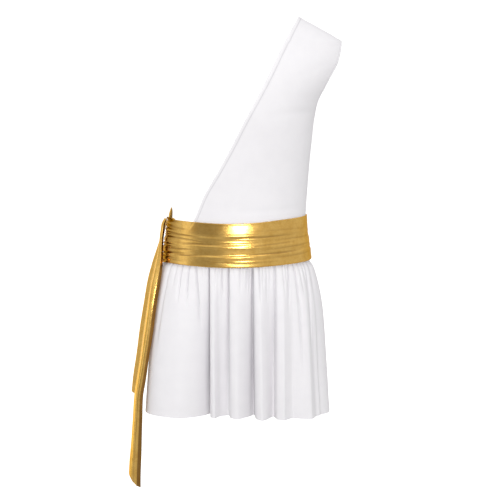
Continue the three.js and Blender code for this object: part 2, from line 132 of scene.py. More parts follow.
# A closed shell of cloth behind a grid of outer points, rows upwards and columns by rising
# angle. locks keeps an edge in its seam's plane: (row, column) to (y or None, z or None).
def clothShell(name, grid, wall, finish, locks=None, edge=0.3, creases=None):
    rows, columns = len(grid), len(grid[0])
    locks = locks or {}
    # one painted shade value for each outer point, none unless they are given
    shadeValues = [depth for line in creases for depth in line] if creases else [0] * (rows * columns)
    outer, inner = [], []
    for row in range(rows):
        for column in range(columns):
            point = grid[row][column]
            back = point - gridNormal(grid, row, column) * wall
            y, z = locks.get((row, column), (None, None))
            for corner in (point, back):
                if y is not None:
                    corner.y = y
                if z is not None:
                    corner.z = z
            outer.append(point.copy())
            inner.append(back)
    points = outer + inner
    shift = rows * columns
    faces, corners = [], []
    acrossAt, upAt = measureGrid(grid)

    def quad(a, b, c, d):
        faces.append((a, b, c, d))
        corners.extend((acrossAt[k % shift], upAt[k % shift]) for k in (a, b, c, d))

    def at(row, column):
        return row * columns + column

    for row in range(rows - 1):
        for column in range(columns - 1):
            a, b, c, d = at(row, column), at(row, column + 1), at(row + 1, column + 1), at(row + 1, column)
            quad(a, b, c, d)
            quad(a + shift, d + shift, c + shift, b + shift)

    # the rim runs round the outer grid against the clock, seen from outside
    rim = [at(0, column) for column in range(columns)]
    rim += [at(row, columns - 1) for row in range(1, rows)]
    rim += [at(rows - 1, column) for column in range(columns - 2, -1, -1)]
    rim += [at(row, 0) for row in range(rows - 2, 0, -1)]
    middle = {}
    for index, key in enumerate(rim):
        row, column = divmod(key, columns)
        outwards = outer[key] - grid[clamp(row, 2, rows - 3)][clamp(column, 2, columns - 3)]
        point = (outer[key] + inner[key]) / 2
        if (row, column) not in locks:
            point += outwards.normalized() * edge
        middle[key] = shift * 2 + index
        points.append(point)
    for index, key in enumerate(rim):
        after = rim[(index + 1) % len(rim)]
        for ring in ((key, middle[key], middle[after], after),
                     (middle[key], key + shift, after + shift, middle[after])):
            faces.append(ring)
            corners.extend(((acrossAt[key], upAt[key]), (acrossAt[key], upAt[key]),
                            (acrossAt[after], upAt[after]), (acrossAt[after], upAt[after])))

    mesh = bpy.data.meshes.new(name)
    mesh.from_pydata([place(point) for point in points], [], faces)
    uvLayer = mesh.uv_layers.new(name="cloth")
    uvLayer.data.foreach_set("uv", [value for corner in corners for value in corner])
    # each point keeps its painted shade value for the finish; the rim takes its outer point's value
    creased = mesh.attributes.new("crease", "FLOAT", "POINT")
    creased.data.foreach_set("value", shadeValues * 2 + [shadeValues[key] for key in rim])
    mesh.validate()
    piece = bpy.data.objects.new(name, mesh)
    bpy.context.collection.objects.link(piece)
    dress(piece, finish)
    return piece


# how far each point of a grid lies across and up the cloth, in metres
def measureGrid(grid):
    across, up = [], []
    middle = len(grid[0]) // 2
    height = 0
    for row, line in enumerate(grid):
        if row:
            height += (line[middle] - grid[row - 1][middle]).length
        width = 0
        for column, point in enumerate(line):
            if column:
                width += (point - line[column - 1]).length
            across.append(width / 1000)
            up.append(height / 1000)
    return across, up


def dress(piece, finish):
    piece.data.materials.clear()
    piece.data.materials.append(finish)
    bpy.ops.object.select_all(action="DESELECT")
    piece.select_set(True)
    bpy.context.view_layer.objects.active = piece
    bpy.ops.object.shade_smooth_by_angle(angle=math.radians(55))


# painted shade: the finish's colour, mixed towards a shade colour where the piece's own painted shade value
# is high
def paintShade(nodes, links, colour, crease, shader):
    depth = nodes.new("ShaderNodeAttribute")
    depth.attribute_name = "crease"
    shaded = nodes.new("ShaderNodeMix")
    shaded.data_type = "RGBA"
    shaded.inputs[7].default_value = crease
    links.new(depth.outputs["Fac"], shaded.inputs[0])
    links.new(colour, shaded.inputs[6])
    links.new(shaded.outputs[2], shader.inputs["Base Color"])


# a wave texture of scale 1 repeats after this length
waveLength = 0.314159

# White jersey: a matt knit with fine wales, a little uneven in tone
# the third colour is the grey of painted shade in the gathers' hollows and along the stitch lines
jersey = {"light": (0.885, 0.868, 0.888, 1), "deep": (0.865, 0.848, 0.87, 1),
          "crease": (0.5, 0.49, 0.52, 1), "patches": 38, "patchDetail": 6, "deepUntil": 0.3,
          "lightFrom": 0.62, "roughness": 0.82, "sheen": 0.12, "sheenSpread": 0.5,
          "wale": 0.0011, "course": 0.0009, "uneven": 0.6, "bump": 0.35, "relief": 0.00022}


def jerseyFinish():
    material = bpy.data.materials.new("white_jersey_knit")
    material.use_nodes = True
    nodes, links = material.node_tree.nodes, material.node_tree.links
    shader = nodes["Principled BSDF"]
    shader.inputs["Roughness"].default_value = jersey["roughness"]
    shader.inputs["Sheen Weight"].default_value = jersey["sheen"]
    shader.inputs["Sheen Roughness"].default_value = jersey["sheenSpread"]
    where = nodes.new("ShaderNodeTexCoord")
    tone = nodes.new("ShaderNodeTexNoise")
    tone.inputs["Scale"].default_value = jersey["patches"]
    tone.inputs["Detail"].default_value = jersey["patchDetail"]
    tones = nodes.new("ShaderNodeValToRGB")
    tones.color_ramp.elements[0].color = jersey["deep"]
    tones.color_ramp.elements[0].position = jersey["deepUntil"]
    tones.color_ramp.elements[1].color = jersey["light"]
    tones.color_ramp.elements[1].position = jersey["lightFrom"]
    links.new(where.outputs["Object"], tone.inputs["Vector"])
    links.new(tone.outputs["Fac"], tones.inputs["Fac"])
    paintShade(nodes, links, tones.outputs["Color"], jersey["crease"], shader)
    wales = nodes.new("ShaderNodeTexWave")
    wales.inputs["Scale"].default_value = waveLength / jersey["wale"]
    courses = nodes.new("ShaderNodeTexWave")
    courses.bands_direction = "Y"
    courses.inputs["Scale"].default_value = waveLength / jersey["course"]
    for texture in (wales, courses):
        texture.inputs["Distortion"].default_value = jersey["uneven"]
        links.new(where.outputs["UV"], texture.inputs["Vector"])
    knit = nodes.new("ShaderNodeMath")
    knit.operation = "MULTIPLY"
    links.new(wales.outputs["Fac"], knit.inputs[0])
    links.new(courses.outputs["Fac"], knit.inputs[1])
    relief = nodes.new("ShaderNodeBump")
    relief.inputs["Strength"].default_value = jersey["bump"]
    relief.inputs["Distance"].default_value = jersey["relief"]
    links.new(knit.outputs["Value"], relief.inputs["Height"])
    links.new(relief.outputs["Normal"], shader.inputs["Normal"])
    return material


# Gold lamé: a woven metal film that sparkles in fine grains
# the third colour is the dark red-brown of painted shade in the gathers, hollow creases and the tails'
# turned-away flanks
lame = {"light": (0.94, 0.6, 0.175, 1), "deep": (0.75, 0.43, 0.095, 1),
        "crease": (0.12, 0.03, 0.006, 1), "glancing": (0.95, 0.72, 0.4, 1), "patches": 60,
        "patchDetail": 6, "patchRoughness": 0.85, "deepUntil": 0.32, "lightFrom": 0.66,
        "sharp": 0.17, "dull": 0.27, "grain": 1300, "grainDetail": 3, "thread": 0.0005,
        "threadShare": 0.35, "uneven": 1.5, "bump": 0.3, "relief": 0.00004}


def lameFinish():
    material = bpy.data.materials.new("gold_lame_weave")
    material.use_nodes = True
    nodes, links = material.node_tree.nodes, material.node_tree.links
    shader = nodes["Principled BSDF"]
    shader.inputs["Metallic"].default_value = 1
    shader.inputs["Specular Tint"].default_value = lame["glancing"]
    where = nodes.new("ShaderNodeTexCoord")
    tone = nodes.new("ShaderNodeTexNoise")
    tone.inputs["Scale"].default_value = lame["patches"]
    tone.inputs["Detail"].default_value = lame["patchDetail"]
    tone.inputs["Roughness"].default_value = lame["patchRoughness"]
    tones = nodes.new("ShaderNodeValToRGB")
    tones.color_ramp.elements[0].color = lame["deep"]
    tones.color_ramp.elements[0].position = lame["deepUntil"]
    tones.color_ramp.elements[1].color = lame["light"]
    tones.color_ramp.elements[1].position = lame["lightFrom"]
    links.new(where.outputs["Object"], tone.inputs["Vector"])
    links.new(tone.outputs["Fac"], tones.inputs["Fac"])
    paintShade(nodes, links, tones.outputs["Color"], lame["crease"], shader)
    grain = nodes.new("ShaderNodeTexNoise")
    grain.inputs["Scale"].default_value = lame["grain"]
    grain.inputs["Detail"].default_value = lame["grainDetail"]
    links.new(where.outputs["Object"], grain.inputs["Vector"])
    gloss = nodes.new("ShaderNodeMapRange")
    gloss.inputs["From Min"].default_value = 0.3
    gloss.inputs["From Max"].default_value = 0.7
    gloss.inputs["To Min"].default_value = lame["sharp"]
    gloss.inputs["To Max"].default_value = lame["dull"]
    links.new(grain.outputs["Fac"], gloss.inputs["Value"])
    links.new(gloss.outputs["Result"], shader.inputs["Roughness"])
    threads = nodes.new("ShaderNodeTexWave")
    threads.bands_direction = "Y"
    threads.inputs["Scale"].default_value = waveLength / lame["thread"]
    threads.inputs["Distortion"].default_value = lame["uneven"]
    links.new(where.outputs["UV"], threads.inputs["Vector"])
    both = nodes.new("ShaderNodeMath")
    both.operation = "MULTIPLY_ADD"
    both.inputs[1].default_value = lame["threadShare"]
    links.new(threads.outputs["Fac"], both.inputs[0])
    links.new(grain.outputs["Fac"], both.inputs[2])
    relief = nodes.new("ShaderNodeBump")
    relief.inputs["Strength"].default_value = lame["bump"]
    relief.inputs["Distance"].default_value = lame["relief"]
    links.new(both.outputs["Value"], relief.inputs["Height"])
    links.new(relief.outputs["Normal"], shader.inputs["Normal"])
    return material


whiteJersey = jerseyFinish()
goldLame = lameFinish()
print("finishes made")


# Bodice: the neckline and armhole in front, and the rows from one to the other
neckline = [dict(zip(("z", "x"), row)) for row in (
    (-447, -143.4), (-420, -117), (-395, -97), (-369, -81), (-320, -60.5), (-274, -34), (-229, -9.8),
    (-184, 13), (-140, 37), (-96, 59.5), (-52, 81), (-18, 99), (15.8, 118.6))]
armhole = [dict(zip(("z", "x"), row)) for row in (
    (-172, 151.6), (-161, 152), (-142, 157), (-120, 168), (-97, 180), (-74, 192.4), (-52, 198.6),
    (-40, 200.6), (-30.6, 201.4))]
panelRows = [
    (-447, -447), (-420, -420), (-395, -395), (-369, -369), (-336, -336), (-300, -302), (-262, -268),
    (-222, -235), (-184, -203), (-148, -172), (-118, -150), (-90, -126), (-64, -102), (-42, -79),
    (-24, -60), (-9, -47), (2, -39), (10, -34), (14.5, -31.4), (15.8, -30.6)]
bodice = {"rowsEach": 7, "columns": 84, "backNeckInset": 20, "backArmholeInset": 2, "armholeFade": 30,
          "hemWide": 6, "hemProud": 0.8, "stitchDeep": 0.7, "stitchShade": 0.5, "armholeHemWide": 7,
          "ripple": 0.4}
edgeSteps = (0, 0.5, 1.4, 2.8, 4.4, 5.3, 5.9, 6.6, 7.6, 9.5)


# how far a turned hem stands proud, so many millimetres in from its edge
def hemProfile(inside, wide):
    band = bodice["hemProud"] * (smooth(inside / 1.2) * 0.4 + 0.6) * (1 - smooth((inside - wide) / 1.4))
    return band - bodice["stitchDeep"] * stitchLine(inside, wide)


def stitchLine(inside, wide):
    return math.exp(-(((inside - wide + 0.4) / 0.8) ** 2))


def bodicePanel(name, facing):
    behind = facing > 0

    def angleOf(x, z):
        angle = angleAcross(x, readTable(bodySections, "z", "half", z), 2)
        return 180 - angle if behind else angle

    def neckAngle(z):
        share = clamp((z - neckline[0]["z"]) / (neckline[-1]["z"] - neckline[0]["z"]), 0, 1)
        inset = bodice["backNeckInset"] * math.sqrt(math.sin(math.pi * share)) if behind else 0
        return angleOf(readTable(neckline, "z", "x", z) + inset, z)

    def sideAngle(z):
        if z <= armhole[0]["z"]:
            return 90
        nearest = min(z - armhole[0]["z"], armhole[-1]["z"] - z)
        inset = bodice["backArmholeInset"] * smooth(nearest / bodice["armholeFade"]) if behind else 0
        return angleOf(readTable(armhole, "z", "x", z) - inset, z)

    steps = (len(panelRows) - 1) * bodice["rowsEach"]
    grid, locks, creases = [], {}, []
    for index in range(steps + 1):
        at = index / bodice["rowsEach"]
        low = int(min(at, len(panelRows) - 2))
        neckZ, sideZ = (mix(panelRows[low][side], panelRows[low + 1][side], at - low) for side in (0, 1))
        crest = index == steps
        start = (270 if behind else -90) if index == 0 else 90 if crest else neckAngle(neckZ)
        end = 90 if crest else sideAngle(sideZ)

        def pointAt(share, out=0):
            return bodyPoint(mix(start, end, share), mix(neckZ, sideZ, share), out)

        rough = [pointAt(k / 20) for k in range(21)]
        length = sum((b - a).length for a, b in zip(rough, rough[1:]))
        squeeze = min(1, length / 60)
        near = [step * squeeze / length for step in edgeSteps]
        inner = bodice["columns"] - 2 * len(near)
        shares = near + [mix(near[-1], 1 - near[-1], k / (inner + 1)) for k in range(1, inner + 1)]
        shares += [1 - share for share in reversed(near)]
        openSide = smooth((sideZ - armhole[0]["z"]) / 12)
        line, shadeValues = [], []
        for share in shares:
            # painted shade along the stitch lines of the neckline and armhole hems
            shadeValues.append(bodice["stitchShade"] * (stitchLine(share * length, bodice["hemWide"])
                          + stitchLine((1 - share) * length, bodice["armholeHemWide"]) * openSide))
            out = hemProfile(share * length, bodice["hemWide"])
            out += hemProfile((1 - share) * length, bodice["armholeHemWide"]) * openSide
            z = mix(neckZ, sideZ, share)
            soft = math.sin(math.pi * share) * bodice["ripple"]
            spot = Vector((share * length / 90, z / 120, 3 * facing))
            out += soft * noise.noise(spot) * 2
            out += bodiceCreases(share * length, length, z, behind)
            line.append(pointAt(share, out))
        if behind:
            line.reverse()
            shadeValues.reverse()
            shares = shares[::-1]
        creases.append(shadeValues)
        for column, share in enumerate(shares):
            seamed = crest or (share == 0 and index == 0) or (share == 1 and sideZ <= armhole[0]["z"])
            if seamed or index == 0:
                y = facing * seamGap / 2 if seamed else None
                locks[index, column] = (y, -447 + seamGap / 2 if index == 0 else None)
        grid.append(line)
    return clothShell(name, grid, whiteWall, whiteJersey, locks, creases=creases)


# soft hollows drawn one by one: the drag above the belt, under the bust and from the strap to the bust
bodiceFolds = [
    {"z": -352, "tilt": 0.03, "wide": 4, "deep": 0.8, "start": 30, "end": 230},
    {"z": -340, "tilt": -0.05, "wide": 8, "deep": 0.5, "start": 10, "end": 120},
    {"z": -168, "tilt": 0.03, "wide": 8, "deep": 1.5, "start": 15, "end": 150},
    {"z": -95, "tilt": 0.5, "wide": 10, "deep": 0.5, "start": 40, "end": 110}]


def bodiceCreases(inside, length, z, behind):
    out = 0
    for fold in bodiceFolds:
        start, end = fold["start"], min(fold["end"], length - 8)
        if end <= start + 10 or not start < inside < end:
            continue
        share = (inside - start) / (end - start)
        gap = (z - fold["z"] + (7 if behind else 0) - fold["tilt"] * (inside - start)) / fold["wide"]
        out -= fold["deep"] * math.sin(math.pi * share) * math.exp(-gap * gap)
    return out


# Skirt: sections below the waist seam, then one line for each fold's hollow, flank and ridge
skirtSections = [dict(zip(("down", "right", "left", "front", "back", "boxy", "fold", "gather", "tuck"), row))
                 for row in (
    (0, 143, 143, 100.2, 91.6, 2, 0, 0.35, 3), (9, 143.4, 143.2, 100.6, 92.2, 2, 0.04, 1, 1.2),
    (21, 150.5, 148.6, 102.4, 97, 2.1, 0.14, 1.15, 0), (50, 159.6, 155, 105.4, 106.5, 2.2, 0.3, 1, 0),
    (95, 168.5, 163, 106.6, 113, 2.35, 0.5, 0.95, 0), (150, 173.5, 170.5, 103.6, 115, 2.5, 0.68, 0.85, 0),
    (205, 177.5, 175, 99, 114, 2.6, 0.83, 0.7, 0), (260, 181.5, 179, 94, 112, 2.7, 0.94, 0.55, 0),
    (311, 185, 182, 89, 110, 2.8, 1, 0.4, 0))]
frontFolds = {
    "top": (-143, -133, -121, -104, -84, -66, -53.5, -51, -46, -40, -34, -25, -15.5, -13, -3, 9, 20, 31, 33.5,
            41, 48, 55, 62, 72, 75, 83, 88, 94, 100, 106, 112, 117, 121, 125, 129, 133, 136, 139.5, 143),
    "hem": (-182, -163, -140, -110, -82, -63, -54, -51.5, -44, -39, -32, -23, -15.5, -12.5, 0, 12, 24, 34, 37,
            47, 55, 62, 67, 73, 76.5, 88, 92, 101, 108, 115, 127, 138, 143, 151, 157, 165, 171, 178, 185),
    "out": (0, 14, 20, 20, 4, -17, -31, -3, 9, 4, -10, -17, -18, 2, 12, 4, -12, -27, 5,
            19, 14, 3, -7, -12, 9, 19, 17, 8, 3, 6, 14, 18, 14, 4, -2, -3, -8, -5, 0)}
backFolds = {
    "top": (143, 135, 131, 128.5, 127, 125, 117, 107, 99, 96, 94, 84, 74, 66, 62, 59, 47, 33, 22, 18, 15.5,
            4, -9, -18, -21, -23.5, -38, -50, -58, -62, -65, -80, -94, -103, -106, -110, -121, -131,
            -138, -143),
    "hem": (185, 178, 168, 158, 152, 149, 138, 124, 113, 108, 105, 93, 80, 71, 66, 63, 49, 37, 27, 22, 19,
            8, -6, -17, -20, -23, -42, -58, -69, -74, -78, -96, -110, -119, -122, -128, -146, -163,
            -175, -182),
    "out": (0, 6, 9, 2, -9, 6, 17, 12, -9, -15, 8, 21, 15, -4, -12, 4, 15, 10, -14, -20, 6,
            19, 12, -11, -16, 5, 21, 16, -4, -10, 3, 15, 9, -9, -14, 4, 17, 12, 3, 0)}
# small gathers: where each starts at the waist and ends, how deep it is and how far down it runs
frontGathers = [dict(zip(("at", "to", "deep", "down"), row)) for row in (
    (-124, -146, 3, 200), (-113, -118, 1.6, 60), (-103, -108, 2.6, 90), (-90, -94, 2.8, 100),
    (-78, -68, 3, 150), (-68, -66, 1.2, 45), (-59, -58, 1.4, 40), (-52.5, -53.5, 5.4, 420),
    (-41, -40, 1.4, 60), (-34, -34, 1.1, 40), (-27.6, -27, 2.4, 90), (-14.3, -15, 4.4, 400),
    (-6, -4, 1, 40), (6.6, 8, 1.8, 70),
    (14, 15, 1, 40), (20, 20, 2.2, 60), (25.5, 25.5, 2, 70), (31.5, 35, 5, 420), (42.7, 46, 2.4, 90),
    (50, 51, 1.4, 60), (58, 58, 1.2, 90), (65, 64, 1.4, 60), (74.5, 74, 3.2, 330), (88, 90, 1.6, 70),
    (94, 94, 1.1, 50), (100, 97, 2.6, 110), (110, 125, 2.8, 260), (118, 124, 1.8, 80), (125, 131, 1.4, 60),
    (132, 141, 2.4, 220), (138, 147, 1.6, 90))]
backGathers = [dict(zip(("at", "to", "deep", "down"), row)) for row in (
    (138, 150, 1.8, 100), (131, 141, 2.4, 200), (119, 124, 1.8, 80), (110, 130, 2.8, 250),
    (101, 98, 2.4, 140), (88, 90, 2, 90), (77, 80, 3.4, 290), (67, 64, 2.4, 110),
    (57, 58, 1.6, 70), (49, 50, 2.2, 90),
    (40, 40, 1.4, 60), (33, 36, 3, 260), (24, 24, 1.6, 70), (15, 15, 2.4, 100), (4, 6, 1.5, 60),
    (-8, -8, 3.6, 311), (-17, -19, 1.5, 60), (-26, -24, 2.3, 100), (-37, -38, 3, 230), (-46, -45, 1.5, 60),
    (-55, -60, 3.2, 300), (-66, -66, 1.8, 80), (-77, -70, 2.8, 180), (-87, -90, 1.6, 70), (-97, -104, 3, 270),
    (-107, -110, 2, 80), (-117, -126, 2.6, 220), (-128, -140, 2, 120), (-136, -150, 1.8, 90))]
skirt = {"waist": -447, "length": 311, "hemTilt": -0.018, "frontRise": 5.5, "waistHalf": 143,
         "columnEvery": 1.3, "gatherWide": 1.7, "gatherSpread": 0.009, "gatherDeep": 1.35,
         "gatherShade": 0.35, "hemWide": 5.5, "hemProud": 0.3, "stitchDeep": 0.3, "ripple": 0.9}
skirtDowns = [0, 3, 6, 8.5, 10, 12, 14, 16, 18, 21, 24, 27, 30.5, 34, 38, 42, 46, 50]
skirtDowns += [50 + 6 * k for k in range(1, 42)] + [300, 303.5, 305, 305.8, 306.6, 308, 309.5, 310.6, 311]


def skirtPanel(name, folds, gathers, facing):
    hem = skirtSections[-1]
    spots = []
    for fold in range(len(folds["hem"]) - 1):
        across, out = (folds[key][fold + 1] - folds[key][fold] for key in ("hem", "out"))
        steps = max(4, round(math.hypot(across, out) / skirt["columnEvery"]))
        spots += [fold + step / steps for step in range(steps)]
    spots.append(len(folds["hem"]) - 1)

    def angleOf(x, half, square):
        angle = angleAcross(x, half, square)
        return angle if facing < 0 else 180 - angle

    columns = []
    for spot in spots:
        top, bottom, out = (through(folds[key], spot) for key in ("top", "hem", "out"))
        bottomHalf = hem["right"] if bottom > 0 else hem["left"]
        columns.append((top, bottom, out, top / skirt["waistHalf"], bottom / bottomHalf))
    grid, locks, creases = [], {}, []
    for index, down in enumerate(reversed(skirtDowns)):
        section = {key: readTable(skirtSections, "down", key, down) for key in hem if key != "down"}
        share = down / skirt["length"]
        wide = skirt["gatherWide"] + skirt["gatherSpread"] * down
        inside = skirt["length"] - down
        band = skirt["hemProud"] * (1 - smooth((inside - skirt["hemWide"]) / 1.2))
        band -= skirt["stitchDeep"] * math.exp(-(((inside - skirt["hemWide"] + 0.4) / 0.6) ** 2))
        line, shadeValues = [], []
        for column, (top, bottom, out, topShare, bottomShare) in enumerate(columns):
            x = mix(top, bottom, share)
            small = 0
            for gather in gathers:
                if down > gather["down"]:
                    continue
                middle = mix(gather["at"], gather["to"], down / gather["down"])
                # each gather slopes in gently from the left and turns out sharply at its right
                gap = (x - middle) / wide * (1.7 if x > middle else 0.8)
                if abs(gap) < 3:
                    fade = 1 - smooth((down / gather["down"] - 0.45) / 0.55)
                    small -= skirt["gatherDeep"] * gather["deep"] * math.exp(-gap * gap) * fade
            # painted shade in the hollows of the small gathers
            shadeValues.append(skirt["gatherShade"] * smooth(-small * section["gather"] / 5))
            uneven = noise.noise(Vector((x / 26, down / 95, 5 * facing))) * skirt["ripple"]
            uneven *= 1 if down > 14 else 0.2
            outwards = out * section["fold"] + small * section["gather"] + uneven - section["tuck"] + band
            half = section["right"] if x > 0 else section["left"]
            depth = section["front"] if facing < 0 else section["back"]
            # folds hang straight in the middle and follow the outline towards the side seams
            part = mix(topShare, bottomShare, share)
            angle = angleOf(clamp(mix(x, half * part, part ** 4), -half, half), half, section["boxy"])
            point = sectionPoint(angle, skirt["waist"] - down, half, depth, section["boxy"], outwards)
            turned = clamp((down - 260) / 51, 0, 1)
            rise = skirt["frontRise"] * clamp(-point.y / depth, 0, 1) if facing < 0 else 0
            point.z += (skirt["hemTilt"] * point.x + rise) * turned
            seamed = column in (0, len(columns) - 1)
            if seamed or down == 0:
                locks[index, column] = (facing * seamGap / 2 if seamed else None,
                                        skirt["waist"] - seamGap / 2 if down == 0 else None)
            line.append(point)
        grid.append(line)
        creases.append(shadeValues)
    return clothShell(name, grid, whiteWall, whiteJersey, locks, creases=creases)


# Sash: its edges, then one line for each lip and hollow from the bottom edge to the top.
# A line's height is a share of the sash's width at five places across the panel.
sash = {"low": -453.8, "lowTilt": 0.008, "lowDip": 2.4, "high": -368.6, "highTilt": 0.02, "highDip": 4.2,
        "dipSharpness": 6, "corner": 4, "backDip": 20, "clearance": 0.9, "columns": 230, "rowsEach": 6,
        "ruchings": 11, "ruchingDeep": 4.6, "ruchingFrom": 12, "ruchingTo": 44, "neckStep": 0.25,
        "neckShade": 0.2, "endShade": 0.7, "creaseShade": 0.4, "deepest": -1.3}
sashFront = [
    ((0, 0, 0, 0, 0), (0.5, 0.5, 0.5)),
    ((0.02, 0.02, 0.02, 0.02, 0.02), (1.2, 1.3, 1.1)),
    ((0.09, 0.09, 0.09, 0.1, 0.1), (1.4, 1.5, 1.2)),
    ((0.15, 0.16, 0.17, 0.19, 0.18), (1.9, 2.1, 1.4)),
    ((0.185, 0.205, 0.223, 0.248, 0.235), (2.4, 2.6, 2)),
    ((0.205, 0.228, 0.247, 0.272, 0.255), (2, 2.4, 1.7)),
    ((0.235, 0.26, 0.28, 0.3, 0.28), (0.8, 1.2, 0.8)),
    ((0.28, 0.31, 0.33, 0.34, 0.32), (1, 1.35, 0.9)),
    ((0.34, 0.35, 0.37, 0.36, 0.355), (1.35, 1.6, 1.2)),
    ((0.405, 0.405, 0.41, 0.395, 0.39), (1.75, 1.95, 1.5)),
    ((0.45, 0.45, 0.452, 0.432, 0.43), (2.3, 2.5, 1.9)),
    ((0.485, 0.485, 0.487, 0.47, 0.46), (1.4, 2.2, 1.5)),
    ((0.54, 0.54, 0.54, 0.53, 0.52), (1, 1.1, 1)),
    ((0.6, 0.595, 0.6, 0.59, 0.56), (1.2, 1.3, 1.1)),
    ((0.665, 0.655, 0.655, 0.645, 0.61), (1.6, 1.7, 1.4)),
    ((0.735, 0.703, 0.705, 0.7, 0.66), (2.4, 2.7, 1.9)),
    ((0.765, 0.735, 0.74, 0.735, 0.7), (2.1, 2.55, 1.7)),
    ((0.81, 0.79, 0.79, 0.79, 0.77), (1.9, 2.3, 1.6)),
    ((0.88, 0.87, 0.87, 0.87, 0.86), (1.5, 1.75, 1.4)),
    ((0.95, 0.95, 0.95, 0.95, 0.95), (1, 1.05, 1)),
    ((0.985, 0.985, 0.985, 0.985, 0.985), (0.9, 0.9, 0.9)),
    ((1, 1, 1, 1, 1), (0.3, 0.3, 0.3))]
sashBack = [
    ((0, 0, 0, 0, 0), (0.6, 0.6, 0.6)),
    ((0.03, 0.03, 0.03, 0.03, 0.03), (1.7, 1.8, 1.5)),
    ((0.14, 0.14, 0.15, 0.13, 0.14), (2.1, 2.2, 1.7)),
    ((0.215, 0.225, 0.245, 0.21, 0.215), (3, 3.3, 2.2)),
    ((0.26, 0.265, 0.29, 0.25, 0.26), (0.7, 0.3, 1)),
    ((0.35, 0.36, 0.39, 0.34, 0.33), (2, 2.4, 1.6)),
    ((0.44, 0.47, 0.5, 0.46, 0.43), (1, 0.8, 1.1)),
    ((0.49, 0.52, 0.55, 0.51, 0.475), (2.7, 3.2, 2)),
    ((0.57, 0.6, 0.63, 0.6, 0.57), (1.9, 2.3, 1.5)),
    ((0.66, 0.7, 0.73, 0.7, 0.67), (0.8, 0.6, 1.1)),
    ((0.71, 0.75, 0.78, 0.75, 0.72), (2.5, 3, 1.8)),
    ((0.82, 0.85, 0.86, 0.85, 0.82), (1.5, 1.8, 1.3)),
    ((0.95, 0.95, 0.95, 0.95, 0.95), (1.1, 1.1, 1.1)),
    ((1, 1, 1, 1, 1), (0.4, 0.4, 0.4))]
# short creases that run out along the sash: across from and to, share of the width at each, mm proud
sashCreases = [
    (0.03, 0.3, 0.86, 0.8, -0.8), (0.03, 0.42, 0.62, 0.56, -0.9), (0.06, 0.36, 0.5, 0.52, 0.6),
    (0.04, 0.34, 0.33, 0.37, -1.1), (0.05, 0.28, 0.11, 0.08, -0.6), (0.3, 0.62, 0.58, 0.56, 0.5),
    (0.45, 0.75, 0.13, 0.12, 0.5), (0.55, 0.9, 0.8, 0.76, -0.3), (0.6, 0.97, 0.37, 0.4, -0.5),
    (0.35, 0.5, 0.14, 0.1, -0.5), (0.62, 0.95, 0.18, 0.2, -0.5), (0.08, 0.22, 0.7, 0.72, 0.8),
    (0.1, 0.3, 0.24, 0.27, -0.7), (0.66, 0.98, 0.57, 0.55, -0.5), (0.53, 0.84, 0.275, 0.285, -1.2),
    (0.18, 0.37, 0.215, 0.25, -1), (0.47, 0.78, 0.672, 0.65, -0.9), (0.1, 0.34, 0.69, 0.665, -1),
    (0.16, 0.46, 0.5, 0.51, -1), (0.5, 0.82, 0.475, 0.49, -0.7)]


